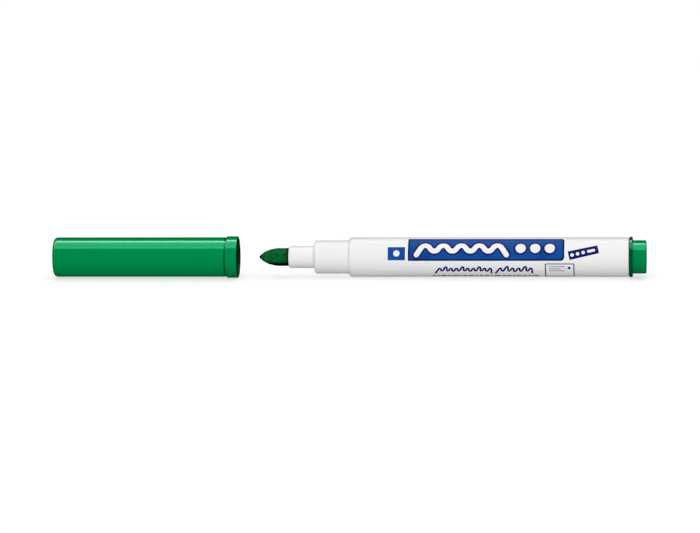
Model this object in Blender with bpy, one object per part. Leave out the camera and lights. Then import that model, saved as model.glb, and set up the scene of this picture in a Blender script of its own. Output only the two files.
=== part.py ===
"""A slim whiteboard marker lying on a surface with its cap pulled off, in metres, +Z up.

Every piece is turned about one axis, parallel to X. The cap is towards -X and the end plug
towards +X. The frame's origin is on the surface, under the middle of the marker's length.
"""

import math

import bmesh
import bpy
from mathutils import Matrix

MM = 0.001

# Roundness
SEGMENTS = 48
SHARP_ANGLE = math.radians(30)

# The gaps that separate pieces touch across, and how far a cutter runs past what it cuts
FIT = 0.05 * MM
SEAT = 0.1 * MM
OVERCUT = 1.0 * MM

# Driving sizes that show from outside
BODY_R = 5.6 * MM
NECK_R = 4.7 * MM
SNOUT_R = 3.125 * MM
NIB_R = 2.55 * MM
COLLAR_R = 5.9 * MM
FLANGE_R = 5.7 * MM

CAP_LENGTH = 52.7 * MM
CAP_GAP = 6.0 * MM
NIB_SHOWING = 8.5 * MM
SNOUT_SHOWING = 7.45 * MM
NECK_LENGTH = 9.7 * MM
BARREL_LENGTH = 79.2 * MM
FLANGE_THICKNESS = 0.9 * MM
PLUG_TAIL = 3.85 * MM

# Barrel
LIP_LENGTH = 1.2 * MM
NECK_BORE_R = 3.9 * MM
BARREL_BORE_R = 4.6 * MM
SHOULDER_ROUND = 0.7 * MM
SHOULDER_WALL = 0.9 * MM
RIB_CREST_R = 4.4 * MM
RIB_WIDTH = 0.6 * MM
RIB_COUNT = 8
RIB_TO_PLUG = 0.8 * MM

# Nib holder
HOLDER_BODY_R = NECK_BORE_R - FIT
HOLDER_TAIL_R = 3.1 * MM
HOLDER_BODY_LENGTH = 8.2 * MM
HOLDER_TAIL_LENGTH = 2.0 * MM
HOLDER_LAND = 1.0 * MM
NIB_BORE_R = NIB_R + FIT
AIR_GROOVES = 6
AIR_GROOVE_WIDTH = 0.9 * MM
AIR_GROOVE_FLOOR_R = 3.3 * MM

# Nib. The points of its bullet shape crowd towards the tip
NIB_OGIVE = 6.0 * MM
NIB_BLUNTNESS = 0.72
NIB_STEPS = 10
NIB_CROWDING = 1.6
NIB_TAIL_R = 1.7 * MM
NIB_TAPER = 1.3 * MM
NIB_TAIL_LENGTH = 6.3 * MM

# Ink reservoir
CORE_R = 4.15 * MM
WRAP_R = 4.35 * MM
CORE_LENGTH = 69.3 * MM

# End plug
PLUG_WALL = 1.2 * MM
SPIGOT_LENGTH = 6.8 * MM
SNAP_DEPTH = 3.0 * MM
SNAP_WIDTH = 0.8 * MM
SNAP_BEAD = 0.08 * MM
SNAP_GROOVE = 0.15 * MM

# Cap and the seal inside it
COLLAR_LENGTH = 3.3 * MM
CAP_ROUND = 0.5 * MM
CAP_MOUTH_R = 4.85 * MM
CAP_TAIL_BORE_R = 4.45 * MM
CAP_END_WALL = 1.2 * MM
SEAL_SEAT_DEPTH = 12.5 * MM
SEAL_LENGTH = 17.5 * MM
SEAL_R = 4.1 * MM
SEAL_WALL = 0.65 * MM
SEAL_LAND_R = 3.18 * MM
SEAL_FLANGE = 1.6 * MM
SEAL_LIP = 0.7 * MM
VENT_NOTCHES = 3
VENT_NOTCH_WIDTH = 1.6 * MM
VENT_NOTCH_FLOOR_R = 4.25 * MM

# Where the pieces lie: the marker's middle is at X = 0, and a flat of the collar is on Z = 0
TOTAL_LENGTH = (
    CAP_LENGTH + CAP_GAP + NIB_SHOWING + SNOUT_SHOWING + NECK_LENGTH
    + BARREL_LENGTH + SEAT + FLANGE_THICKNESS + PLUG_TAIL
)
AXIS_Z = COLLAR_R * math.cos(math.pi / SEGMENTS)
CAP_RIM_X = CAP_LENGTH - TOTAL_LENGTH / 2
NIB_TIP_X = CAP_RIM_X + CAP_GAP
SNOUT_X = NIB_TIP_X + NIB_SHOWING
NECK_X = SNOUT_X + SNOUT_SHOWING
SHOULDER_X = NECK_X + NECK_LENGTH
BARREL_END_X = SHOULDER_X + BARREL_LENGTH
HOLDER_BODY_START = SNOUT_SHOWING + LIP_LENGTH + SEAT
HOLDER_LENGTH = HOLDER_BODY_START + HOLDER_BODY_LENGTH + HOLDER_TAIL_LENGTH
RESERVOIR_X = SNOUT_X + HOLDER_LENGTH + SEAT

GREEN = ("green_plastic", (0.0, 0.24, 0.075, 1.0), 0.28)
WHITE = ("white_plastic", (0.86, 0.86, 0.85, 1.0), 0.32)
NATURAL = ("natural_plastic", (0.78, 0.8, 0.78, 1.0), 0.45)
FELT = ("green_felt", (0.0, 0.07, 0.022, 1.0), 0.9)
FIBRE = ("inked_fibre", (0.05, 0.2, 0.1, 1.0), 0.95)
FILM = ("wrap_film", (0.82, 0.85, 0.84, 1.0), 0.2)


def clear_scene():
    for obj in list(bpy.data.objects):
        bpy.data.objects.remove(obj)


def material(finish):
    name, colour, roughness = finish
    made = bpy.data.materials.get(name) or bpy.data.materials.new(name)
    made.use_nodes = True
    shader = made.node_tree.nodes["Principled BSDF"]
    shader.inputs["Base Color"].default_value = colour
    shader.inputs["Roughness"].default_value = roughness
    shader.inputs["Metallic"].default_value = 0.0
    return made


def empty(name, location, parent=None):
    made = bpy.data.objects.new(name, None)
    bpy.context.scene.collection.objects.link(made)
    made.parent = parent
    made.location = location
    return made


def add_object(name, bm, parent, x, finish=None):
    """The mesh as an object on the axis of its parent, x along it."""
    bmesh.ops.recalc_face_normals(bm, faces=bm.faces)
    mesh = bpy.data.meshes.new(name)
    bm.to_mesh(mesh)
    bm.free()
    mesh.shade_smooth()
    mesh.set_sharp_from_angle(angle=SHARP_ANGLE)
    made = bpy.data.objects.new(name, mesh)
    bpy.context.scene.collection.objects.link(made)
    made.parent = parent
    made.location = (x, 0.0, 0.0)
    if finish:
        mesh.materials.append(material(finish))
    return made


def turned(name, profile, parent, x, finish, hollow=False):
    """A profile of (x, radius) points spun about X.

    The profile starts and ends on the axis, or goes round a loop if the piece is hollow.
    """
    bm = bmesh.new()
    first_side = math.pi / SEGMENTS
    verts = [
        bm.verts.new((px, r * math.sin(first_side), r * math.cos(first_side)))
        for px, r in profile
    ]
    ends = verts[1:] + verts[:1] if hollow else verts[1:]
    edges = [bm.edges.new(pair) for pair in zip(verts, ends)]
    bmesh.ops.spin(
        bm,
        geom=verts + edges,
        cent=(0.0, 0.0, 0.0),
        axis=(1.0, 0.0, 0.0),
        angle=math.tau,
        steps=SEGMENTS,
        use_merge=True,
    )
    bmesh.ops.remove_doubles(bm, verts=bm.verts, dist=1e-7)
    return add_object(name, bm, parent, x, finish)


def round_edge(x, r, radius, quarter, steps=3):
    """The points of a quarter round, as (x, radius) points about its centre (x, r).

    quarter counts quarter turns from +X towards +R to where the round starts; it then goes on
    for one more quarter turn, or back for one if radius is negative.
    """
    turn = math.copysign(math.pi / 2, radius)
    size = abs(radius)
    return [
        (
            x + size * math.cos(quarter * math.pi / 2 + turn * i / steps),
            r + size * math.sin(quarter * math.pi / 2 + turn * i / steps),
        )
        for i in range(steps + 1)
    ]


def radial_boxes(name, parent, x, length, inner_r, outer_r, width, count):
    """A hidden tool of boxes spread round the axis, each from inner_r to outer_r, starting at x."""
    bm = bmesh.new()
    for i in range(count):
        made = bmesh.ops.create_cube(bm, size=1.0)["verts"]
        sized = Matrix.Diagonal((length, width, outer_r - inner_r, 1.0))
        placed = Matrix.Translation((length / 2, 0.0, (inner_r + outer_r) / 2)) @ sized
        turn = Matrix.Rotation(math.tau * i / count, 4, "X")
        bmesh.ops.transform(bm, matrix=turn @ placed, verts=made)
    made = add_object(name, bm, parent, x)
    made.hide_render = True
    made.display_type = "WIRE"
    return made


def boolean(target, tool, operation):
    modifier = target.modifiers.new(tool.name, "BOOLEAN")
    modifier.object = tool
    modifier.operation = operation
    modifier.solver = "EXACT"


def make_cap_shell(slide):
    """The outer cap. Its own x is 0 at the rim, and the closed end is at -CAP_LENGTH."""
    end = -CAP_LENGTH
    rim_edge = 0.2 * MM
    step = 0.35 * MM
    lead_in = 0.3 * MM
    bead_depth, bead_width, bead_slope = 1.8 * MM, 0.4 * MM, 0.25 * MM
    bead_r = NECK_R + FIT
    draft = 0.2 * MM
    outside = [
        (end, 0.0),
        *round_edge(end + CAP_ROUND, BODY_R - CAP_ROUND, -CAP_ROUND, 2),
        (-COLLAR_LENGTH - step, BODY_R),
        (-COLLAR_LENGTH, COLLAR_R),
        *round_edge(-rim_edge, COLLAR_R - rim_edge, -rim_edge, 1, 2),
    ]
    inside = [
        (0.0, CAP_MOUTH_R + lead_in),
        (-lead_in, CAP_MOUTH_R),
        (-bead_depth, CAP_MOUTH_R),
        (-bead_depth - bead_slope, bead_r),
        (-bead_depth - bead_slope - bead_width, bead_r),
        (-bead_depth - 2 * bead_slope - bead_width, CAP_MOUTH_R),
        (-SEAL_SEAT_DEPTH, CAP_MOUTH_R),
        (-SEAL_SEAT_DEPTH, CAP_TAIL_BORE_R),
        (end + CAP_END_WALL + CAP_ROUND, CAP_TAIL_BORE_R - draft),
        (end + CAP_END_WALL, CAP_TAIL_BORE_R - draft - CAP_ROUND),
        (end + CAP_END_WALL, 0.0),
    ]
    turned("cap_shell", outside + inside, slide, 0.0, GREEN)


def make_cap_seal(slide):
    """The inner cap that closes round the snout. Its own x is 0 at the face that meets the cap's step."""
    flange_r = CAP_MOUTH_R - FIT
    front = SEAL_FLANGE + SEAL_LIP
    end = front - SEAL_LENGTH
    chamber_r = SEAL_R - SEAL_WALL
    land = 1.3 * MM
    flare = 0.55 * MM
    dome = 2.2 * MM
    outside = [
        (end, 0.0),
        *round_edge(end + dome, SEAL_R - dome, -dome, 2, 4),
        (0.0, SEAL_R),
        (0.0, flange_r),
        (SEAL_FLANGE, flange_r),
        (SEAL_FLANGE, SEAL_R),
        (front, SEAL_R),
    ]
    inside = [
        (front, SEAL_LAND_R + flare),
        (front - 2 * flare, SEAL_LAND_R),
        (front - 2 * flare - land, SEAL_LAND_R),
        (front - 3 * flare - land, chamber_r),
        *round_edge(end + dome, SEAL_R - dome, dome - SEAL_WALL, 1, 4),
        (end + SEAL_WALL, 0.0),
    ]
    seal = turned("cap_seal", outside + inside, slide, -SEAL_SEAT_DEPTH + SEAT, NATURAL)
    notches = radial_boxes(
        "seal_vent_notches", seal, -OVERCUT, SEAL_FLANGE + 2 * OVERCUT,
        VENT_NOTCH_FLOOR_R, BODY_R, VENT_NOTCH_WIDTH, VENT_NOTCHES,
    )
    boolean(seal, notches, "DIFFERENCE")


def make_barrel(marker):
    """The white tube with its neck. Its own x is 0 at the neck's front face."""
    end = NECK_LENGTH + BARREL_LENGTH
    neck_edge = 0.4 * MM
    end_edge = 0.15 * MM
    step = 0.7 * MM
    lip_r = SNOUT_R + FIT
    bore_start = NECK_LENGTH + SHOULDER_WALL
    groove_r = BARREL_BORE_R + SNAP_GROOVE
    groove_mid = end - SNAP_DEPTH
    outside = [
        *round_edge(neck_edge, NECK_R - neck_edge, -neck_edge, 2),
        (NECK_LENGTH, NECK_R),
        *round_edge(NECK_LENGTH + SHOULDER_ROUND, BODY_R - SHOULDER_ROUND, -SHOULDER_ROUND, 2, 4),
        (end - end_edge, BODY_R),
        (end, BODY_R - end_edge),
    ]
    inside = [
        (end, BARREL_BORE_R + 2 * end_edge),
        (end - 2 * end_edge, BARREL_BORE_R),
        (groove_mid + SNAP_WIDTH, BARREL_BORE_R),
        (groove_mid + SNAP_WIDTH / 2, groove_r),
        (groove_mid - SNAP_WIDTH / 2, groove_r),
        (groove_mid - SNAP_WIDTH, BARREL_BORE_R),
        (bore_start + step, BARREL_BORE_R),
        (bore_start, NECK_BORE_R),
        (LIP_LENGTH, NECK_BORE_R),
        (LIP_LENGTH, lip_r),
        (0.0, lip_r),
    ]
    barrel = turned("barrel", outside + inside, marker, NECK_X, WHITE, hollow=True)
    rib_start = bore_start + 2 * step
    rib_length = end - SPIGOT_LENGTH - RIB_TO_PLUG - rib_start
    ribs = radial_boxes(
        "barrel_ribs", barrel, rib_start, rib_length,
        RIB_CREST_R, (BARREL_BORE_R + BODY_R) / 2, RIB_WIDTH, RIB_COUNT,
    )
    boolean(barrel, ribs, "UNION")


def make_nib_holder(marker):
    """The snout and the body behind it. Its own x is 0 at the snout's front face."""
    front_round = 0.5 * MM
    body_end = HOLDER_BODY_START + HOLDER_BODY_LENGTH
    chamfer = 0.4 * MM
    outside = [
        *round_edge(front_round, SNOUT_R - front_round, -front_round, 2, 4),
        (HOLDER_BODY_START, SNOUT_R),
        (HOLDER_BODY_START, HOLDER_BODY_R),
        (body_end - chamfer, HOLDER_BODY_R),
        (body_end, HOLDER_BODY_R - chamfer),
        (body_end, HOLDER_TAIL_R),
        (HOLDER_LENGTH, HOLDER_TAIL_R),
    ]
    inside = [(HOLDER_LENGTH, NIB_BORE_R), (0.0, NIB_BORE_R)]
    holder = turned("nib_holder", outside + inside, marker, SNOUT_X, WHITE, hollow=True)
    grooves = radial_boxes(
        "holder_air_grooves", holder, HOLDER_BODY_START + HOLDER_LAND, HOLDER_BODY_LENGTH,
        AIR_GROOVE_FLOOR_R, BODY_R, AIR_GROOVE_WIDTH, AIR_GROOVES,
    )
    boolean(holder, grooves, "DIFFERENCE")


def make_nib(marker):
    """The bullet-shaped felt nib. Its own x is 0 at the writing tip."""
    shaft_end = NIB_SHOWING + HOLDER_LENGTH - NIB_TAPER / 2
    tail_start = shaft_end + NIB_TAPER
    tail_end = tail_start + NIB_TAIL_LENGTH
    ogive = []
    for i in range(1, NIB_STEPS + 1):
        share = (i / NIB_STEPS) ** NIB_CROWDING
        ogive.append((NIB_OGIVE * share, NIB_R * (1 - (1 - share) ** 2) ** NIB_BLUNTNESS))
    profile = [
        (0.0, 0.0),
        *ogive,
        (shaft_end, NIB_R),
        (tail_start, NIB_TAIL_R),
        (tail_end - NIB_TAIL_R / 2, NIB_TAIL_R),
        (tail_end, NIB_TAIL_R / 2),
        (tail_end, 0.0),
    ]
    turned("nib", profile, marker, NIB_TIP_X, FELT)


def make_reservoir(marker):
    """The fibre core that holds the ink, and the film round it. Their own x is 0 at the front face."""
    hole_r = NIB_TAIL_R + FIT
    hole_depth = NIB_TAPER / 2 + NIB_TAIL_LENGTH + SEAT
    core = [
        (hole_depth, 0.0),
        (hole_depth, hole_r),
        (NIB_TAPER, hole_r),
        (0.0, NIB_R),
        (0.0, CORE_R),
        (CORE_LENGTH, CORE_R),
        (CORE_LENGTH, 0.0),
    ]
    turned("reservoir_core", core, marker, RESERVOIR_X, FIBRE)
    inner_r = CORE_R + FIT
    wrap = [(0.0, WRAP_R), (CORE_LENGTH, WRAP_R), (CORE_LENGTH, inner_r), (0.0, inner_r)]
    turned("reservoir_wrap", wrap, marker, RESERVOIR_X, FILM, hollow=True)


def make_end_plug(marker):
    """The plug in the barrel's rear end. Its own x is 0 at the flange's front face."""
    tail_end = FLANGE_THICKNESS + PLUG_TAIL
    flange_edge = 0.12 * MM
    tail_round = 0.35 * MM
    root = 0.15 * MM
    spigot_r = BARREL_BORE_R - FIT
    bead_r = BARREL_BORE_R + SNAP_BEAD
    bead_mid = -SEAT - SNAP_DEPTH
    bore_r = spigot_r - PLUG_WALL
    inside = [
        (tail_end - PLUG_WALL, 0.0),
        (tail_end - PLUG_WALL, bore_r),
        (-SPIGOT_LENGTH, bore_r),
    ]
    outside = [
        (-SPIGOT_LENGTH, spigot_r - 2 * root),
        (-SPIGOT_LENGTH + 3 * root, spigot_r),
        (bead_mid - SNAP_WIDTH / 2, spigot_r),
        (bead_mid - SNAP_WIDTH / 4, bead_r),
        (bead_mid + SNAP_WIDTH / 4, bead_r),
        (bead_mid + SNAP_WIDTH / 2, spigot_r),
        (0.0, spigot_r),
        (0.0, FLANGE_R - flange_edge),
        (flange_edge, FLANGE_R),
        (FLANGE_THICKNESS - flange_edge, FLANGE_R),
        (FLANGE_THICKNESS, FLANGE_R - flange_edge),
        (FLANGE_THICKNESS, NECK_R + root),
        (FLANGE_THICKNESS + root, NECK_R),
        *round_edge(tail_end - tail_round, NECK_R - tail_round, -tail_round, 1),
        (tail_end, 0.0),
    ]
    turned("end_plug", inside + outside, marker, BARREL_END_X + SEAT, GREEN)


def main():
    clear_scene()
    marker = empty("marker_axis", (0.0, 0.0, AXIS_Z))
    slide = empty("cap_slide_axis", (CAP_RIM_X, 0.0, 0.0), marker)
    make_cap_shell(slide)
    make_cap_seal(slide)
    make_barrel(marker)
    make_nib_holder(marker)
    make_nib(marker)
    make_reservoir(marker)
    make_end_plug(marker)
    bpy.context.view_layer.update()


main()
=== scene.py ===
"""Looks of the whiteboard marker: fine mouldings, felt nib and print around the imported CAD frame.

Outlines are in millimetres along the marker's axis, which runs along X. The cap lies at -X with its mouth
facing the nib, and the plug closes the barrel at +X.
"""

import math

import bmesh
import bpy
from mathutils import Matrix, Vector, noise


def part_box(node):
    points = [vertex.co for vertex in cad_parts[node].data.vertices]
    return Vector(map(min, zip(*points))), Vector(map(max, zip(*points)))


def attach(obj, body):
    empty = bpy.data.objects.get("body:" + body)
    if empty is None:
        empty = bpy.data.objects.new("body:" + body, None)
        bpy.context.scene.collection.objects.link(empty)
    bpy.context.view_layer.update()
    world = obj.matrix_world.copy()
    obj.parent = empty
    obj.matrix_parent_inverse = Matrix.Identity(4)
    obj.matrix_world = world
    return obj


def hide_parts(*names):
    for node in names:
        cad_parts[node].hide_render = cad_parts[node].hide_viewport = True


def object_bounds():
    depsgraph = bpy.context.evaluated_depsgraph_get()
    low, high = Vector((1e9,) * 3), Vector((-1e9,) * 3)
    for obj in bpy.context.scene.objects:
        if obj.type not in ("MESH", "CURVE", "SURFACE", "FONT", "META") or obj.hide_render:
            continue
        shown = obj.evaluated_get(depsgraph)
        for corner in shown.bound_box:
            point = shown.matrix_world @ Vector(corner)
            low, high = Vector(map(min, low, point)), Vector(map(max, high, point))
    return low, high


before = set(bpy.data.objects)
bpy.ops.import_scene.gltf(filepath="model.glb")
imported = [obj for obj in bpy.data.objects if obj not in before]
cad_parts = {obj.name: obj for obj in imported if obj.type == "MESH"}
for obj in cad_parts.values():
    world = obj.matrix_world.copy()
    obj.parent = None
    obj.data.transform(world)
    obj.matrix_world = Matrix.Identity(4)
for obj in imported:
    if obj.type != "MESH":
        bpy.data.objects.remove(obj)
CAD_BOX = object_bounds()

MM = 0.001
CAD_SEGMENTS = 48
FACET = math.cos(math.pi / CAD_SEGMENTS)
SEGMENTS = 192
SMALL_SEGMENTS = 144
HIDDEN_SEGMENTS = 96
ARC_STEPS = 6
SHARP_ANGLE = math.radians(32)


def span(node):
    """Where a CAD node starts and ends along the axis, and its largest radius, in millimetres."""
    low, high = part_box(node)
    return low.x / MM, high.x / MM, (high.z - low.z) / (2 * MM * FACET)


CAP_END, CAP_RIM, COLLAR_R = span("cap_shell")
NECK_FRONT, BARREL_END, BARREL_R = span("barrel")
SNOUT_FRONT, HOLDER_END, HOLDER_R = span("nib_holder")
NIB_TIP, NIB_END, NIB_R = span("nib")
PLUG_FRONT, PLUG_END, FLANGE_R = span("end_plug")
SEAL_FRONT, SEAL_END, SEAL_R = span("cap_seal")
CORE_FRONT, CORE_END, CORE_R = span("reservoir_core")
WRAP_FRONT, WRAP_END, WRAP_R = span("reservoir_wrap")
BARREL_LOW, BARREL_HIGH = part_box("barrel")
AXIS_Z = (BARREL_LOW.z + BARREL_HIGH.z) / 2

NECK_R = 4.7
NECK_LENGTH = 9.7
SHOULDER = NECK_FRONT + NECK_LENGTH
SNOUT_R = 3.125
SNOUT_SHOWING = 7.2
TAIL_R = 4.7
FLANGE_FACE = BARREL_END + 0.1
FLANGE_BACK = FLANGE_FACE + 0.9
END_WALL = 1.2
CAP_GROOVE = CAP_RIM - 3.45
CAP_GROOVE_DEPTH = 0.08
CAP_MOUTH_R = 4.85
CAP_LIP_R = 5.15
SNAP = BARREL_END - 3.2

CAMERA_AZIMUTH = 5.2
CAMERA_ELEVATION = 10.0
CAMERA_DISTANCE = 1.25
PIXELS_PER_MM = 3.528
IMAGE_WIDTH = 700
SENSOR = 36.0
AIM_RIGHT = 0.35
AIM_DOWN = 2.70


# ---------------------------------------------------------------- turned pieces


def arc(before, corner, after, radius):
    """The rounded corner between two neighbouring outline points, as points along its arc."""
    point = Vector(corner)
    to_before = Vector(before) - point
    to_after = Vector(after) - point
    room = 0.49 * min(to_before.length, to_after.length)
    to_before.normalize()
    to_after.normalize()
    opening = to_before.angle(to_after)
    if opening > math.pi - 0.02:
        return [point]
    reach = min(radius / math.tan(opening / 2), room)
    radius = reach * math.tan(opening / 2)
    centre = point + (to_before + to_after).normalized() * (radius / math.sin(opening / 2))
    start = point + to_before * reach - centre
    end = point + to_after * reach - centre
    turn = math.pi - opening
    points = []
    for step in range(ARC_STEPS + 1):
        part = step / ARC_STEPS
        near = math.sin((1 - part) * turn) / math.sin(turn)
        far = math.sin(part * turn) / math.sin(turn)
        points.append(centre + start * near + end * far)
    return points


def rounded(corners, closed):
    """An outline of (x, radius) or (x, radius, rounding) corners, as plain points."""
    points = []
    count = len(corners)
    for index, corner in enumerate(corners):
        inner = closed or 0 < index < count - 1
        if len(corner) == 3 and inner:
            before = corners[index - 1][:2]
            after = corners[(index + 1) % count][:2]
            points.extend(arc(before, corner[:2], after, corner[2]))
        else:
            points.append(Vector(corner[:2]))
    return points


def quarter_round(x, radius, size, steps=8):
    """The points of a quarter round that rises from a face at x to the full radius."""
    turns = [math.pi / 2 * step / steps for step in range(steps + 1)]
    return [(x + size * (1 - math.cos(turn)), radius - size * (1 - math.sin(turn))) for turn in turns]


def on_axis(x, radius, angle):
    """The place in metres of a point at x and radius in millimetres, angle up from the front."""
    y = -radius * math.cos(angle) * MM
    z = AXIS_Z + radius * math.sin(angle) * MM
    return Vector((x * MM, y, z))


def turned(name, corners, closed=False, segments=SEGMENTS, form=None):
    """A solid turned round the axis. form(x, radius, angle) can give each point a radius of its own."""
    mesh_data = bpy.data.meshes.new(name)
    mesh = bmesh.new()
    rings = []
    for x, radius in rounded(corners, closed):
        if radius < 1e-6:
            rings.append([mesh.verts.new(on_axis(x, 0, 0))])
            continue
        ring = []
        for index in range(segments):
            angle = 2 * math.pi * index / segments
            local = form(x, radius, angle) if form else radius
            ring.append(mesh.verts.new(on_axis(x, local, angle)))
        rings.append(ring)
    pairs = list(zip(rings, rings[1:]))
    if closed:
        pairs.append((rings[-1], rings[0]))
    for first, second in pairs:
        for index in range(segments):
            after = (index + 1) % segments
            if len(first) == 1:
                mesh.faces.new((first[0], second[after], second[index]))
            elif len(second) == 1:
                mesh.faces.new((first[index], first[after], second[0]))
            else:
                mesh.faces.new((first[index], first[after], second[after], second[index]))
    bmesh.ops.recalc_face_normals(mesh, faces=mesh.faces)
    mesh.to_mesh(mesh_data)
    mesh.free()
    return shown(name, mesh_data)


def shown(name, mesh_data):
    """A smooth-shaded object for the mesh, linked into the scene."""
    mesh_data.shade_smooth()
    mesh_data.set_sharp_from_angle(angle=SHARP_ANGLE)
    piece = bpy.data.objects.new(name, mesh_data)
    bpy.context.scene.collection.objects.link(piece)
    weighted = piece.modifiers.new("clean_shading", "WEIGHTED_NORMAL")
    weighted.keep_sharp = True
    return piece


def in_bands(radius, angle, count, width, first=0.0):
    """Whether the angle lies in one of count bands of that width round a circle of that radius."""
    pitch = 2 * math.pi / count
    offset = (angle - first + pitch / 2) % pitch - pitch / 2
    return abs(offset) * radius < width / 2


# ---------------------------------------------------------------- the pieces


def gate_mark(face, inward):
    """The dimple with a pip that a gate leaves in an end face. inward is 1 or -1 along the axis."""
    pip = face + inward * 0.08
    floor = face + inward * 0.24
    return [(pip, 0.0), (pip, 0.42, 0.1), (floor, 0.5, 0.05), (floor, 1.1, 0.1), (face, 1.32, 0.12)]


def make_cap():
    """The cap: a collar, a groove, a long plain tube, a closed end with a gate mark, a bead in the mouth."""
    end = CAP_END
    rim = CAP_RIM
    groove_r = BARREL_R - CAP_GROOVE_DEPTH
    bead = rim - 2.25
    bead_r = NECK_R + 0.05
    seat = rim - 12.5
    corners = [
        *gate_mark(end, 1),
        (end, BARREL_R, 0.95),
        (CAP_GROOVE - 0.4, BARREL_R, 0.12),
        (CAP_GROOVE - 0.2, groove_r, 0.08),
        (CAP_GROOVE + 0.15, groove_r, 0.08),
        (CAP_GROOVE + 0.35, COLLAR_R, 0.14),
        (rim, COLLAR_R, 0.2),
        (rim, CAP_LIP_R, 0.12),
        (rim - 0.3, CAP_MOUTH_R, 0.15),
        (bead + 0.45, CAP_MOUTH_R, 0.1),
        (bead + 0.2, bead_r, 0.15),
        (bead - 0.2, bead_r, 0.15),
        (bead - 0.45, CAP_MOUTH_R, 0.1),
        (seat, CAP_MOUTH_R, 0.1),
        (seat, 4.45, 0.1),
        (end + END_WALL, 4.25, 0.5),
        (end + END_WALL, 0.0),
    ]
    return turned("cap_moulding", corners)


def make_barrel():
    """The white tube with its round shoulder, the neck for the cap and the ribs for the reservoir."""
    end = BARREL_END
    front = NECK_FRONT
    front_bore_r = SNOUT_R + 0.05
    neck_bore_r = HOLDER_R + 0.05
    bore_r = 4.6
    lip = front + 1.2
    seam = end - 1.04
    seam_r = BARREL_R - 0.045
    snap_r = bore_r + 0.15
    rib_front = SHOULDER + 2.0
    rib_back = end - 9.0
    rib_crest = 4.4
    rib_count = 8
    rib_width = 0.6

    def ribs(x, radius, angle):
        on_bore = rib_front < x < rib_back and radius < bore_r + 0.05
        return rib_crest if on_bore and in_bands(rib_crest, angle, rib_count, rib_width) else radius

    corners = [
        (front, front_bore_r, 0.1),
        (front, NECK_R, 0.55),
        (SHOULDER, NECK_R),
        *quarter_round(SHOULDER, BARREL_R, 0.87),
        (seam - 0.08, BARREL_R, 0.05),
        (seam - 0.04, seam_r, 0.02),
        (seam + 0.04, seam_r, 0.02),
        (seam + 0.08, BARREL_R, 0.05),
        (end, BARREL_R, 0.28),
        (end, bore_r, 0.15),
        (SNAP + 0.4, bore_r, 0.05),
        (SNAP + 0.3, snap_r, 0.05),
        (SNAP - 0.3, snap_r, 0.05),
        (SNAP - 0.4, bore_r, 0.05),
        (rib_back + 0.1, bore_r),
        (rib_back - 0.1, bore_r),
        (rib_front + 0.1, bore_r),
        (rib_front - 0.1, bore_r),
        (SHOULDER - 0.3, bore_r, 0.2),
        (SHOULDER - 0.9, neck_bore_r, 0.2),
        (lip, neck_bore_r, 0.1),
        (lip, front_bore_r, 0.05),
    ]
    return turned("barrel_moulding", corners, closed=True, form=ribs)


def make_snout():
    """The nib holder: a thin snout, a grooved body in the neck and a spigot into the reservoir."""
    front = SNOUT_FRONT
    shoulder = front + 8.75
    body_end = front + 16.95
    bore_r = NIB_R + 0.05
    spigot_r = 3.1
    groove_r = 3.3
    groove_count = 6
    groove_width = 0.9

    def grooves(x, radius, angle):
        on_body = shoulder - 0.01 < x < body_end + 0.01 and radius > groove_r + 0.1
        return groove_r if on_body and in_bands(HOLDER_R, angle, groove_count, groove_width) else radius

    corners = [
        (front + 0.1, bore_r),
        *quarter_round(front, SNOUT_R, 0.5),
        (shoulder, SNOUT_R, 0.1),
        (shoulder, HOLDER_R, 0.15),
        (body_end, HOLDER_R, 0.3),
        (body_end, spigot_r, 0.1),
        (HOLDER_END, spigot_r, 0.3),
        (HOLDER_END, bore_r, 0.1),
    ]
    return turned("snout_moulding", corners, closed=True, form=grooves)


def make_nib():
    """The bullet nib: pressed felt with a rounded ogive point, and its thin tail inside the holder."""
    ogive = 6.0
    bluntness = 0.72
    crowding = 1.6
    point_steps = 34
    body_steps = 44
    lump_height = 0.05
    fibre_height = 0.035
    tail_front = NIB_END - 6.3
    tail = [(tail_front + 0.05, 1.75), (NIB_END - 1.3, 1.7), (NIB_END, 1.1), (NIB_END, 0.0)]
    corners = []
    for step in range(point_steps + 1):
        part = (step / point_steps) ** crowding
        corners.append((NIB_TIP + ogive * part, NIB_R * (1 - (1 - part) ** 2) ** bluntness))
    body = NIB_TIP + ogive
    for step in range(1, body_steps + 1):
        corners.append((body + (tail_front - body) * step / body_steps, NIB_R))

    def uneven(x, radius, angle):
        place = Vector((x, radius * math.cos(angle), radius * math.sin(angle)))
        lumps = noise.noise(place * 1.1) * lump_height
        fibres = noise.noise(Vector((place.x * 1.2, place.y * 4.2, place.z * 4.2))) * fibre_height
        off_tip = min(1.0, radius / 0.6)
        off_snout = min(1.0, max(0.0, (SNOUT_FRONT - x) / 0.4))
        return radius + (lumps + fibres - 0.02) * off_tip * off_snout

    return turned("nib_felt", corners + tail, segments=SMALL_SEGMENTS, form=uneven)


def make_plug():
    """The end plug: a thin flange, a stepped-down tail with a gate mark, and a hollow snap spigot."""
    end = PLUG_END
    spigot_r = 4.55
    bore_r = spigot_r - END_WALL
    bead = SNAP + 0.1
    bead_r = spigot_r + 0.13
    corners = [
        *gate_mark(end, -1),
        (end, TAIL_R, 0.38),
        (FLANGE_BACK, TAIL_R, 0.18),
        (FLANGE_BACK, FLANGE_R, 0.2),
        (FLANGE_FACE, FLANGE_R, 0.2),
        (FLANGE_FACE, spigot_r, 0.06),
        (bead + 0.4, spigot_r, 0.1),
        (bead + 0.2, bead_r, 0.1),
        (bead - 0.2, bead_r, 0.1),
        (bead - 0.4, spigot_r, 0.1),
        (PLUG_FRONT, spigot_r, 0.5),
        (PLUG_FRONT, bore_r, 0.2),
        (end - END_WALL, bore_r, 0.4),
        (end - END_WALL, 0.0),
    ]
    return turned("plug_moulding", corners)


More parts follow.
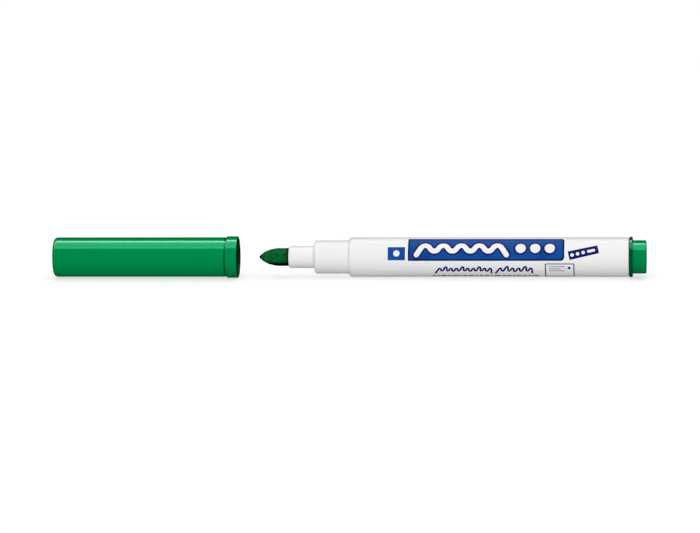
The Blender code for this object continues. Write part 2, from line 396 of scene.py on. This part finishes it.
def make_liner():
    """The inner cap: a notched flange that seats in the cap, a sealing land and a soft domed cup."""
    back = SEAL_FRONT
    lip = SEAL_END
    seat = lip - 2.3
    wall = 0.65
    cup_r = 4.1
    dome_r = 4.0
    land_r = 3.18
    notch_r = 4.25
    notch_count = 3
    notch_width = 1.6
    flange_end = seat + 1.6

    def notches(x, radius, angle):
        on_flange = x > seat - 0.02 and radius > notch_r
        in_notch = in_bands(SEAL_R, angle, notch_count, notch_width, math.pi / 2)
        return notch_r if on_flange and in_notch else radius

    corners = [
        (back, 0.0),
        (back + 0.25, 2.2, 1.5),
        (back + 2.2, dome_r, 1.2),
        (seat, cup_r, 0.1),
        (seat, SEAL_R, 0.08),
        (flange_end, SEAL_R, 0.15),
        (flange_end, cup_r, 0.1),
        (lip, cup_r, 0.15),
        (lip, land_r + 0.55, 0.1),
        (lip - 0.55, land_r, 0.2),
        (lip - 1.85, land_r, 0.2),
        (lip - 2.3, cup_r - wall, 0.2),
        (back + 2.4, dome_r - wall, 1.0),
        (back + wall + 0.1, 1.9, 1.2),
        (back + wall, 0.0),
    ]
    return turned("cap_liner", corners, segments=SMALL_SEGMENTS, form=notches)


def make_reservoir():
    """The ink-soaked fibre rod and the thin film sleeve round it."""
    core = [
        (CORE_FRONT, 0.0),
        (CORE_FRONT, CORE_R, 0.25),
        (CORE_END, CORE_R, 0.25),
        (CORE_END, 0.0),
    ]
    inside = WRAP_R - 0.15
    sleeve = [
        (WRAP_FRONT, inside),
        (WRAP_FRONT, WRAP_R, 0.05),
        (WRAP_END, WRAP_R, 0.05),
        (WRAP_END, inside),
    ]
    rod = turned("reservoir_fibre", core, segments=HIDDEN_SEGMENTS)
    film_sleeve = turned("reservoir_sleeve", sleeve, closed=True, segments=HIDDEN_SEGMENTS)
    return rod, film_sleeve


# ---------------------------------------------------------------- print on the barrel

DASH_LENGTHS = (
    1.1, 0.6, 1.6, 0.8, 1.9, 0.5, 1.2, 1.7, 0.7, 1.0,
    1.5, 0.6, 2.0, 0.9, 1.3, 0.6, 1.6, 1.1, 0.8, 1.8,
)
PRINT_LIFT = 0.014
PRINT_SINK = 0.012
STRIP = 0.25
VIEW_ANGLE = math.radians(CAMERA_ELEVATION)


def disc(x, s, radius, steps=40):
    """A round outline."""
    turns = [2 * math.pi * step / steps for step in range(steps)]
    return [(x + radius * math.cos(turn), s + radius * math.sin(turn)) for turn in turns]


def panel(x0, x1, s0, s1, left=0.05, right=0.05):
    """A rectangle whose left and right corners are rounded by those radii."""
    points = []
    corners = ((x0, s0, left, 180), (x1, s0, right, 270), (x1, s1, right, 0), (x0, s1, left, 90))
    for x, s, radius, start in corners:
        centre_x = x + radius if x == x0 else x - radius
        centre_s = s + radius if s == s0 else s - radius
        for step in range(9):
            turn = math.radians(start + 90 * step / 8)
            points.append((centre_x + radius * math.cos(turn), centre_s + radius * math.sin(turn)))
    return points


def stroke(path, half_width):
    """The outline of a pen stroke of even width along a smooth path, with round ends."""
    left = []
    right = []
    last = len(path) - 1
    for index, point in enumerate(path):
        before = Vector(path[max(index - 1, 0)])
        after = Vector(path[min(index + 1, last)])
        along = (after - before).normalized()
        across = Vector((-along.y, along.x)) * half_width
        left.append(Vector(point) + across)
        right.append(Vector(point) - across)

    def end_cap(point, start):
        spoke = start - Vector(point)
        turned_by = [math.pi * step / 8 for step in range(1, 8)]
        return [Vector(point) + Matrix.Rotation(-turn, 2) @ spoke for turn in turned_by]

    outline = left + end_cap(path[-1], left[-1]) + right[::-1] + end_cap(path[0], right[0])
    return [tuple(point) for point in outline]


def zigzag(x0, x1, low, high, pitch, bend, slant=0.0, tall=0.0):
    """A round-cornered zigzag path. slant leans it over, and every third peak is higher by tall."""
    corners = []
    count = 2 * round((x1 - x0) / pitch)
    for index in range(count + 1):
        peak = index % 2
        rise = (high - low) * peak + (tall if index % 6 == 3 else 0.0)
        corners.append((x0 + (x1 - x0) * index / count + slant * rise, low + rise, bend))
    return rounded(corners, closed=False)


def tilted(points, centre, degrees):
    """Points turned round a centre."""
    turn = Matrix.Rotation(math.radians(degrees), 2)
    middle = Vector(centre)
    return [tuple(middle + turn @ (Vector(point) - middle)) for point in points]


def printed(name, outlines):
    """A film of ink on the barrel, filled between outlines of (x, arc length up from the line of sight)."""
    flat = bmesh.new()
    for outline in outlines:
        verts = [flat.verts.new((x, s, 0.0)) for x, s in outline]
        for index, vert in enumerate(verts):
            flat.edges.new((vert, verts[(index + 1) % len(verts)]))
    bmesh.ops.triangle_fill(flat, use_beauty=True, edges=flat.edges[:], normal=(0, 0, 1))
    lowest = min(vert.co.y for vert in flat.verts)
    highest = max(vert.co.y for vert in flat.verts)
    for index in range(math.ceil(lowest / STRIP), math.floor(highest / STRIP) + 1):
        geometry = flat.verts[:] + flat.edges[:] + flat.faces[:]
        bmesh.ops.bisect_plane(
            flat, geom=geometry, dist=1e-5, plane_co=(0, index * STRIP, 0), plane_no=(0, 1, 0)
        )
    flat.verts.index_update()

    def wrap(vert, radius):
        return on_axis(vert.co.x, radius, VIEW_ANGLE + vert.co.y / BARREL_R)

    count = len(flat.verts)
    points = [wrap(vert, BARREL_R + PRINT_LIFT) for vert in flat.verts]
    points += [wrap(vert, BARREL_R - PRINT_SINK) for vert in flat.verts]
    faces = []
    for face in flat.faces:
        ring = [vert.index for vert in face.verts]
        faces.append(ring)
        faces.append([index + count for index in reversed(ring)])
    for edge in flat.edges:
        if len(edge.link_faces) == 1:
            loop = edge.link_loops[0]
            a = loop.vert.index
            b = loop.link_loop_next.vert.index
            faces.append([b, a, a + count, b + count])
    flat.free()
    mesh_data = bpy.data.meshes.new(name)
    mesh_data.from_pydata([tuple(point) for point in points], [], faces)
    mesh = bmesh.new()
    mesh.from_mesh(mesh_data)
    bmesh.ops.recalc_face_normals(mesh, faces=mesh.faces)
    mesh.to_mesh(mesh_data)
    mesh.free()
    return shown(name, mesh_data)


def panel_print():
    """A blue panel with a white squiggle and three white dots, and a darker line along every edge."""
    line = 0.5
    left, right, bottom, top = 17.2, 61.3, -1.12, 6.25
    middle = 2.55
    swing = 1.95
    pen = 0.75
    dot = 1.45
    dots = (49.0, 53.1, 57.2)
    path = zigzag(19.6, 45.0, middle - swing, middle + swing, pitch=5.1, bend=1.3)
    white = [stroke(path, pen)] + [disc(x, middle, dot) for x in dots]
    edged = [stroke(path, pen + line)] + [disc(x, middle, dot + line) for x in dots]
    outer = panel(left, right, bottom, top, 0.05, 1.1)
    inner = panel(left + line, right - line, bottom + line, top - line, 0.05, 0.8)
    fill = printed("print_panel", [inner, *edged])
    return [fill, printed("print_outline", [outer, inner, *edged, *white])]


def badge_print():
    """A block with a round hole."""
    return printed("print_badge", [panel(11.5, 16.4, -0.95, 2.9), disc(13.95, 1.0, 0.9)])


def script_print():
    """Two runs of up-and-down pen strokes, which stand for words without spelling any."""
    runs = ((24.9, 40.7), (41.9, 52.2))
    pen = 0.27
    paths = [zigzag(x0, x1, -5.25, -2.7, pitch=1.6, bend=0.31, slant=0.3, tall=0.8) for x0, x1 in runs]
    return printed("print_script", [stroke(path, pen) for path in paths])


def tag_print():
    """A tilted bar with three dots and a dash left white."""
    centre = (66.4, 1.2)
    tilt = 13
    bar = panel(62.4, 70.9, 0.0, 2.45)
    dots = [disc(x, centre[1], 0.5) for x in (63.4, 65.0, 66.6)]
    dash = panel(67.7, 70.0, 0.8, 1.6, 0.35, 0.35)
    return printed("print_tag", [tilted(outline, centre, tilt) for outline in (bar, *dots, dash)])


def box_print():
    """A thin frame with three lines and a spot in it."""
    frame_out = panel(55.8, 64.1, -7.6, -1.9, 0.3, 0.3)
    frame_in = panel(56.1, 63.8, -7.3, -2.15, 0.1, 0.1)
    half = 0.09
    ends = ((61.4, -2.9), (60.2, -3.6), (61.4, -4.3))
    lines = [panel(56.9, x, s - half, s + half, 0.08, 0.08) for x, s in ends]
    return printed("print_box", [frame_out, frame_in, *lines, disc(62.6, -3.3, 0.42)])


def dashes_print():
    """A row of dashes of uneven length along the lower edge."""
    gap = 0.35
    place = 24.0
    dashes = []
    for length in DASH_LENGTHS:
        dashes.append(panel(place, place + length, -6.95, -6.4, 0.2, 0.2))
        place += length + gap
    return printed("print_dashes", dashes)


def make_print():
    """All the blue print. None of it holds a letter or a word."""
    return [*panel_print(), badge_print(), script_print(), tag_print(), box_print(), dashes_print()]


# ---------------------------------------------------------------- materials


class Look:
    """A procedural material: one shader, with nodes that read the object's own coordinates."""

    def __init__(self, name, **sockets):
        self.material = bpy.data.materials.new(name)
        self.material.use_nodes = True
        self.tree = self.material.node_tree
        self.shader = self.tree.nodes["Principled BSDF"]
        for socket, value in sockets.items():
            self.shader.inputs[socket.replace("_", " ")].default_value = value
        self.place = self.node("ShaderNodeTexCoord").outputs["Object"]
        self.bumps = None

    def node(self, kind, **settings):
        made = self.tree.nodes.new(kind)
        for setting, value in settings.items():
            setattr(made, setting, value)
        return made

    def link(self, start, end):
        self.tree.links.new(start, end)

    def grain(self, size, detail=3.0, stretch=(1.0, 1.0, 1.0), shift=0.0):
        """Noise with features of that size in millimetres, drawn out along each axis by stretch."""
        mapping = self.node("ShaderNodeMapping")
        mapping.inputs["Location"].default_value = (shift, shift, shift)
        mapping.inputs["Scale"].default_value = [1 / part for part in stretch]
        self.link(self.place, mapping.inputs["Vector"])
        texture = self.node("ShaderNodeTexNoise")
        texture.inputs["Scale"].default_value = 1 / (size * MM)
        texture.inputs["Detail"].default_value = detail
        texture.inputs["Roughness"].default_value = 0.55
        self.link(mapping.outputs["Vector"], texture.inputs["Vector"])
        return texture.outputs["Fac"]

    def spread(self, value, low, high, start=0.0, end=1.0):
        """The value taken from low...high to start...end, held at its ends."""
        ranged = self.node("ShaderNodeMapRange")
        self.link(value, ranged.inputs["Value"])
        ranged.inputs["From Min"].default_value = low
        ranged.inputs["From Max"].default_value = high
        ranged.inputs["To Min"].default_value = start
        ranged.inputs["To Max"].default_value = end
        return ranged.outputs["Result"]

    def maths(self, operation, first, second):
        made = self.node("ShaderNodeMath", operation=operation)
        for socket, value in zip(made.inputs, (first, second)):
            if isinstance(value, (int, float)):
                socket.default_value = value
            else:
                self.link(value, socket)
        return made.outputs["Value"]

    def blend(self, amount, first, second):
        """Two colours mixed by a mask."""
        mixed = self.node("ShaderNodeMix", data_type="RGBA")
        self.link(amount, mixed.inputs[0])
        sockets = [socket for socket in mixed.inputs if socket.type == "RGBA"]
        for socket, value in zip(sockets, (first, second)):
            if isinstance(value, tuple):
                socket.default_value = (*value, 1.0)
            else:
                self.link(value, socket)
        return [socket for socket in mixed.outputs if socket.type == "RGBA"][0]

    def coordinate(self, axis):
        """Each point's X, Y or Z, in metres."""
        split = self.node("ShaderNodeSeparateXYZ")
        self.link(self.place, split.inputs["Vector"])
        return split.outputs[axis]

    def near_edges(self, places, width):
        """A mask, 1 at those places along the axis and 0 beyond the width, all in millimetres."""
        along = self.coordinate("X")
        mask = None
        for place in places:
            away = self.maths("ABSOLUTE", self.maths("SUBTRACT", along, place * MM), 0.0)
            band = self.spread(away, 0.0, width * MM, 1.0, 0.0)
            mask = band if mask is None else self.maths("MAXIMUM", mask, band)
        return mask

    def from_axis(self):
        """How far each point is from the marker's axis, in metres."""
        centred = self.node("ShaderNodeVectorMath", operation="SUBTRACT")
        self.link(self.place, centred.inputs[0])
        centred.inputs[1].default_value = (0.0, 0.0, AXIS_Z)
        flat = self.node("ShaderNodeVectorMath", operation="MULTIPLY")
        self.link(centred.outputs["Vector"], flat.inputs[0])
        flat.inputs[1].default_value = (0.0, 1.0, 1.0)
        length = self.node("ShaderNodeVectorMath", operation="LENGTH")
        self.link(flat.outputs["Vector"], length.inputs[0])
        return length.outputs["Value"]

    def relief(self, value, depth):
        """A bump of that depth in millimetres, on top of the bumps added before it."""
        bump = self.node("ShaderNodeBump")
        bump.inputs["Distance"].default_value = depth * MM
        self.link(value, bump.inputs["Height"])
        if self.bumps is not None:
            self.link(self.bumps, bump.inputs["Normal"])
        self.bumps = bump.outputs["Normal"]
        self.link(self.bumps, self.shader.inputs["Normal"])

    def colour(self, value):
        self.link(value, self.shader.inputs["Base Color"])

    def roughness(self, value):
        self.link(value, self.shader.inputs["Roughness"])


def green_plastic(name, edges, dark, bore=None):
    """Glossy pigmented polypropylene: flow streaks, orange peel, hairline scratches and rubbed edges.

    dark is the place, half-width and colour of a band of painted shade, a darker green. bore is the radius
    of the cap's inside and the place where its closed end starts: painted shade darkens the surfaces inside
    that radius.
    """
    look = Look(
        name,
        Specular_IOR_Level=0.8,
        Specular_Tint=(0.06, 1.0, 0.6, 1.0),
        Coat_Weight=0.03,
        Coat_Roughness=0.08,
    )
    clouds = look.grain(7.0, 3.0, stretch=(3.0, 1.0, 1.0))
    body = look.blend(look.spread(clouds, 0.3, 0.7), (0.0, 0.25, 0.065), (0.0, 0.285, 0.076))
    scuffs = look.spread(look.grain(0.9, 6.0, stretch=(0.35, 2.5, 2.5)), 0.66, 0.78)
    wear = look.spread(look.grain(0.5, 5.0), 0.5, 0.66)
    rubbed = look.maths("MULTIPLY", look.near_edges(edges, 0.5), wear)
    worn = look.maths("MAXIMUM", look.maths("MULTIPLY", scuffs, 0.3), look.maths("MULTIPLY", rubbed, 0.5))
    colours = look.blend(worn, body, (0.015, 0.36, 0.14))
    # Painted shade: the cap's inside, past the start of its closed end, is coloured near-black green.
    if bore:
        radius, start = bore
        inside_shade = look.spread(look.from_axis(), (radius - 0.05) * MM, (radius + 0.1) * MM, 1.0, 0.0)
        past_end = look.spread(look.coordinate("X"), (start + 0.6) * MM, (start + 0.8) * MM)
        colours = look.blend(look.maths("MULTIPLY", inside_shade, past_end), colours, (0.0, 0.035, 0.01))
    # Painted shade: a band of darker green at the place given, standing for the shade in the cap's groove or
    # round the plug's flange.
    place, half_width, darker = dark
    band = look.near_edges((place,), half_width)
    look.colour(look.blend(look.spread(band, 0.0, 0.3), colours, darker))
    gloss = look.spread(look.grain(3.2, 4.0, shift=3.0), 0.3, 0.7, 0.1, 0.14)
    look.roughness(look.maths("ADD", gloss, look.maths("MULTIPLY", worn, 0.3)))
    look.relief(look.grain(0.8, 2.0), 0.0005)
    look.relief(look.grain(0.22, 3.0, stretch=(12.0, 1.0, 1.0)), 0.0004)
    return look.material


def white_plastic(edges):
    """Satin white polypropylene, faintly mottled, with grey handling marks and rubbed edges."""
    look = Look("white_plastic", Specular_IOR_Level=0.17, Coat_Weight=0.03, Coat_Roughness=0.14)
    clouds = look.grain(9.0, 3.0, stretch=(4.0, 1.0, 1.0))
    body = look.blend(look.spread(clouds, 0.3, 0.7), (0.845, 0.848, 0.842), (0.885, 0.887, 0.88))
    marks = look.spread(look.grain(1.6, 6.0, stretch=(3.0, 0.6, 0.6)), 0.66, 0.8)
    wear = look.spread(look.grain(0.6, 5.0), 0.45, 0.65)
    rubbed = look.maths("MULTIPLY", look.near_edges(edges, 0.45), wear)
    worn = look.maths("MAXIMUM", look.maths("MULTIPLY", marks, 0.35), look.maths("MULTIPLY", rubbed, 0.4))
    look.colour(look.blend(worn, body, (0.72, 0.73, 0.735)))
    gloss = look.spread(look.grain(4.0, 4.0, shift=5.0), 0.3, 0.7, 0.3, 0.38)
    look.roughness(look.maths("ADD", gloss, look.maths("MULTIPLY", worn, 0.2)))
    look.relief(look.grain(0.7, 2.0), 0.0015)
    look.relief(look.grain(0.2, 3.0, stretch=(10.0, 1.0, 1.0)), 0.0008)
    return look.material


def felt():
    """Pressed green felt, soaked with ink: dark pores, paler threads, painted shade below and at the root,
    darker at the tip.
    """
    look = Look("green_felt", Specular_IOR_Level=0.03)
    clumps = look.spread(look.grain(0.9, 5.0, stretch=(1.8, 1.0, 1.0)), 0.35, 0.65)
    soaked = look.blend(clumps, (0.0001, 0.022, 0.003), (0.0012, 0.15, 0.024))
    threads = look.spread(look.grain(0.16, 6.0, stretch=(5.0, 1.0, 1.0), shift=2.0), 0.42, 0.72)
    dry = look.blend(threads, soaked, (0.002, 0.18, 0.04))
    # Painted shade: the nib turns near-black on its lower side and at its root, where it enters the snout.
    # It is also darker at the very tip.
    ragged = look.maths("MULTIPLY", look.grain(0.5, 4.0, shift=1.0), 0.9 * MM)
    height = look.maths("ADD", look.coordinate("Z"), ragged)
    under = look.spread(height, AXIS_Z - 1.05 * MM, AXIS_Z - 0.6 * MM, 1.0, 0.0)
    along = look.maths("ADD", look.coordinate("X"), ragged)
    root_shade = look.spread(along, (SNOUT_FRONT - 0.3) * MM, (SNOUT_FRONT + 0.1) * MM)
    point = look.spread(along, (NIB_TIP + 0.9) * MM, (NIB_TIP + 1.4) * MM, 1.0, 0.0)
    painted_shade_and_tip = look.maths("MAXIMUM", under, look.maths("MAXIMUM", root_shade, point))
    # Near-black green for the painted shade and the darker tip.
    look.colour(look.blend(painted_shade_and_tip, dry, (0.0, 0.006, 0.001)))
    look.roughness(look.spread(clumps, 0.0, 1.0, 0.75, 0.95))
    look.relief(look.grain(0.14, 6.0, stretch=(4.0, 1.0, 1.0)), 0.05)
    look.relief(look.grain(0.5, 4.0, shift=4.0), 0.06)
    return look.material


def natural_plastic():
    """Milky soft polyethylene that lets a little light in."""
    look = Look(
        "natural_plastic",
        Subsurface_Weight=0.25,
        Subsurface_Radius=(1.0, 1.0, 1.0),
        Subsurface_Scale=0.0012,
    )
    clouds = look.spread(look.grain(3.0, 4.0), 0.3, 0.7)
    look.colour(look.blend(clouds, (0.74, 0.77, 0.75), (0.82, 0.84, 0.82)))
    look.roughness(look.spread(look.grain(1.2, 4.0), 0.3, 0.7, 0.4, 0.52))
    look.relief(look.grain(0.4, 3.0), 0.003)
    return look.material


def ink_fibre():
    """Polyester fibres soaked with green ink, running along the rod."""
    look = Look("inked_fibre", Specular_IOR_Level=0.3)
    threads = look.spread(look.grain(0.12, 5.0, stretch=(14.0, 1.0, 1.0)), 0.35, 0.65)
    look.colour(look.blend(threads, (0.01, 0.09, 0.035), (0.07, 0.27, 0.13)))
    look.roughness(look.spread(threads, 0.0, 1.0, 0.75, 0.95))
    look.relief(threads, 0.04)
    return look.material


def film():
    """Thin clear-white film with fine lengthwise pleats."""
    look = Look("wrap_film", Specular_IOR_Level=0.5)
    pleats = look.spread(look.grain(0.3, 3.0, stretch=(20.0, 1.0, 1.0)), 0.35, 0.65)
    look.colour(look.blend(pleats, (0.78, 0.82, 0.8), (0.86, 0.88, 0.87)))
    look.roughness(look.spread(look.grain(1.5, 4.0), 0.3, 0.7, 0.16, 0.28))
    look.relief(pleats, 0.012)
    return look.material


def blue_ink(name, dark, light):
    """Screen-printed ink: slightly uneven coverage, a fine screen texture and tiny pinholes."""
    look = Look(name, Specular_IOR_Level=0.04)
    clouds = look.spread(look.grain(2.4, 5.0, stretch=(1.6, 1.0, 1.0)), 0.32, 0.68)
    body = look.blend(clouds, dark, light)
    pinholes = look.spread(look.grain(0.16, 2.0, shift=7.0), 0.76, 0.82)
    look.colour(look.blend(look.maths("MULTIPLY", pinholes, 0.4), body, (0.3, 0.36, 0.55)))
    look.roughness(look.spread(look.grain(1.1, 4.0, shift=1.0), 0.3, 0.7, 0.4, 0.55))
    look.relief(look.grain(0.12, 2.0), 0.0015)
    return look.material


def pale_floor():
    """A matt white sweep with the faintest mottling, lit a little from below like a light table."""
    look = Look("pale_floor", Specular_IOR_Level=0.1, Emission_Strength=FLOOR_GLOW)
    look.shader.inputs["Emission Color"].default_value = (1.0, 1.0, 1.0, 1.0)
    clouds = look.spread(look.grain(60.0, 3.0), 0.3, 0.7)
    look.colour(look.blend(clouds, (0.44, 0.44, 0.44), (0.46, 0.46, 0.46)))
    look.roughness(look.spread(clouds, 0.0, 1.0, 0.85, 0.95))
    return look.material


def dress(piece, material, body, slot, *nodes):
    """Gives a piece its material and body, and hides the CAD nodes it stands for. slot is not used."""
    piece.data.materials.append(material)
    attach(piece, body)
    if nodes:
        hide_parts(*nodes)


# ---------------------------------------------------------------- the setting

FLOOR_FLAT = 3.0
SWEEP_RADIUS = 3.0
SWEEP_TOP = 9.0
SWEEP_STEPS = 24
SWEEP_SIDES = 128
FLOOR_DROP = 0.02
LAMP_DISTANCE = 1.0
LAMP_LENGTH = 2.4
WORLD_FRONT = 1.53
WORLD_BACK = 0.95
WORLD_BLEND = 0.5
WORLD_ENDS = 0.1
ENDS_START = 0.3
ENDS_FULL = 0.8
WORLD_DARK_BELOW = -0.88
WORLD_LIT_ABOVE = -0.64
FLOOR_GLOW = 0.63


def make_floor():
    """A wide pale floor just under the marker, which sweeps up into a wall all round, with no corner."""
    ground = CAD_BOX[0].z - FLOOR_DROP * MM
    outline = [(FLOOR_FLAT, ground)]
    for step in range(1, SWEEP_STEPS + 1):
        turn = math.pi / 2 * step / SWEEP_STEPS
        out = FLOOR_FLAT + SWEEP_RADIUS * math.sin(turn)
        outline.append((out, ground + SWEEP_RADIUS * (1 - math.cos(turn))))
    outline.append((FLOOR_FLAT + SWEEP_RADIUS, SWEEP_TOP))
    mesh_data = bpy.data.meshes.new("floor")
    mesh = bmesh.new()
    turns = [2 * math.pi * step / SWEEP_SIDES for step in range(SWEEP_SIDES)]
    rings = []
    for out, height in outline:
        ring = [(out * math.cos(turn), out * math.sin(turn), height) for turn in turns]
        rings.append([mesh.verts.new(place) for place in ring])
    mesh.faces.new(rings[0])
    for inner, outer in zip(rings, rings[1:]):
        for index in range(SWEEP_SIDES):
            after = (index + 1) % SWEEP_SIDES
            mesh.faces.new((inner[index], outer[index], outer[after], inner[after]))
    mesh.to_mesh(mesh_data)
    mesh.free()
    mesh_data.shade_smooth()
    floor = bpy.data.objects.new("floor", mesh_data)
    bpy.context.scene.collection.objects.link(floor)
    mesh_data.materials.append(pale_floor())
    floor.visible_glossy = False
    floor.visible_diffuse = False
    floor.visible_shadow = False


def make_lamp(name, low, high, radiance, colour=(1.0, 1.0, 1.0)):
    """A long lamp, which shows only as a gleam.

    It fills the arc between two elevations, counted from the front over the top to the back.
    """
    middle = math.radians((low + high) / 2)
    width = 2 * LAMP_DISTANCE * math.tan(math.radians((high - low) / 2))
    outward = Vector((0, -math.cos(middle), math.sin(middle)))
    sideways = Vector((1, 0, 0))
    upward = outward.cross(sideways)
    light = bpy.data.lights.new(name, "AREA")
    light.shape = "RECTANGLE"
    light.size = LAMP_LENGTH
    light.size_y = width
    light.energy = radiance * math.pi * width * LAMP_LENGTH
    light.color = colour
    lamp = bpy.data.objects.new(name, light)
    lamp.matrix_world = Matrix((
        (sideways.x, upward.x, outward.x, 0),
        (sideways.y, upward.y, outward.y, outward.y * LAMP_DISTANCE),
        (sideways.z, upward.z, outward.z, AXIS_Z + outward.z * LAMP_DISTANCE),
        (0, 0, 0, 1),
    ))
    lamp.visible_camera = False
    lamp.visible_diffuse = False
    bpy.context.scene.collection.objects.link(lamp)


def make_world():
    """A soft white surround that doesn't show in the marker's gloss.

    It is brightest in front, dimmer past the marker's two ends, and dark straight below. Each constant that
    says where is a coordinate of the direction, -1 to 1.
    """
    world = bpy.data.worlds.new("studio")
    world.use_nodes = True
    bpy.context.scene.world = world
    world.cycles_visibility.glossy = False
    tree = world.node_tree
    background = tree.nodes["Background"]
    background.inputs["Color"].default_value = (1.0, 1.0, 1.0, 1.0)
    direction = tree.nodes.new("ShaderNodeTexCoord")
    split = tree.nodes.new("ShaderNodeSeparateXYZ")
    tree.links.new(direction.outputs["Generated"], split.inputs["Vector"])

    def maths(operation, first, second=None):
        made = tree.nodes.new("ShaderNodeMath")
        made.operation = operation
        tree.links.new(first, made.inputs[0])
        if second:
            tree.links.new(second, made.inputs[1])
        return made.outputs["Value"]

    def ramp(value, low, high, start, end):
        made = tree.nodes.new("ShaderNodeMapRange")
        made.interpolation_type = "SMOOTHSTEP"
        tree.links.new(value, made.inputs["Value"])
        for socket, setting in zip(("From Min", "From Max", "To Min", "To Max"), (low, high, start, end)):
            made.inputs[socket].default_value = setting
        return made.outputs["Result"]

    around = ramp(split.outputs["Y"], -WORLD_BLEND, WORLD_BLEND, WORLD_FRONT, WORLD_BACK)
    sideways = maths("ABSOLUTE", split.outputs["X"])
    ends = ramp(sideways, ENDS_START, ENDS_FULL, 1.0, WORLD_ENDS)
    below = ramp(split.outputs["Z"], WORLD_DARK_BELOW, WORLD_LIT_ABOVE, 0.0, 1.0)
    strength = maths("MULTIPLY", maths("MULTIPLY", around, ends), below)
    tree.links.new(strength, background.inputs["Strength"])


def make_lamps():
    """A bank of lamps over the marker: a wide soft one, and a brighter strip along each of its sides."""
    make_lamp("overhead", 66, 106, 2.45)
    make_lamp("front_strip", 60, 68, 3.0)
    make_lamp("back_strip", 106, 119, 7.0, (1.2, 1.0, 1.03))


def set_colours():
    """Plain colour management, so that white comes out white."""
    settings = bpy.context.scene.view_settings
    settings.view_transform = "Standard"
    settings.look = "None"
    settings.exposure = 0.0
    settings.gamma = 1.0


def make_camera():
    """A long-lens camera, a little above and to the right, rolled so that the marker lies level."""
    azimuth = math.radians(CAMERA_AZIMUTH)
    elevation = math.radians(CAMERA_ELEVATION)
    back = Vector((
        math.sin(azimuth) * math.cos(elevation),
        -math.cos(azimuth) * math.cos(elevation),
        math.sin(elevation),
    ))
    along = Vector((1, 0, 0))
    right = (along - back * along.dot(back)).normalized()
    up = back.cross(right)
    data = bpy.data.cameras.new("camera")
    data.sensor_width = SENSOR
    data.lens = PIXELS_PER_MM * (CAMERA_DISTANCE / MM) * SENSOR / IMAGE_WIDTH
    data.clip_start = 0.05
    data.clip_end = 60.0
    aim = Vector((0, 0, AXIS_Z)) + right * AIM_RIGHT * MM - up * AIM_DOWN * MM
    place = aim + back * CAMERA_DISTANCE
    camera = bpy.data.objects.new("camera", data)
    camera.matrix_world = Matrix((
        (right.x, up.x, back.x, place.x),
        (right.y, up.y, back.y, place.y),
        (right.z, up.z, back.z, place.z),
        (0, 0, 0, 1),
    ))
    bpy.context.scene.collection.objects.link(camera)
    bpy.context.scene.camera = camera


def make_marker():
    """All the pieces, each with its material, on the body that carries it."""
    # Painted shade bands: darker green in the cap's groove and round the plug's flange, where shade falls.
    groove = (CAP_GROOVE, 0.36, (0.0, 0.12, 0.035))
    flange = ((FLANGE_FACE + FLANGE_BACK) / 2, 0.55, (0.0, 0.085, 0.025))
    cap_edges = (CAP_END, CAP_GROOVE + 0.2, CAP_RIM)
    # The cap's last argument gives its inside painted shade.
    green_cap = green_plastic("cap_green", cap_edges, groove, (CAP_LIP_R, CAP_END))
    green_plug = green_plastic("plug_green", (PLUG_END,), flange)
    white = white_plastic((NECK_FRONT, SHOULDER + 0.3, BARREL_END))
    white_snout = white_plastic((SNOUT_FRONT, SNOUT_FRONT + SNOUT_SHOWING))
    dress(make_cap(), green_cap, "cap", "green_plastic", "cap_shell")
    dress(make_liner(), natural_plastic(), "cap", "natural_plastic", "cap_seal")
    dress(make_barrel(), white, "marker", "white_plastic", "barrel")
    dress(make_snout(), white_snout, "marker", "white_plastic", "nib_holder")
    dress(make_nib(), felt(), "marker", "green_felt", "nib")
    dress(make_plug(), green_plug, "marker", "green_plastic", "end_plug")
    rod, sleeve = make_reservoir()
    dress(rod, ink_fibre(), "marker", "inked_fibre", "reservoir_core")
    dress(sleeve, film(), "marker", "wrap_film", "reservoir_wrap")
    ink = blue_ink("blue_print", (0.002, 0.05, 0.25), (0.006, 0.082, 0.34))
    fine_ink = blue_ink("fine_blue_print", (0.003, 0.004, 0.12), (0.008, 0.012, 0.18))
    for piece in make_print():
        broad = piece.name in ("print_panel", "print_badge")
        dress(piece, ink if broad else fine_ink, "marker", "blue_print")


make_camera()
set_colours()
make_world()
make_floor()
make_lamps()
make_marker()
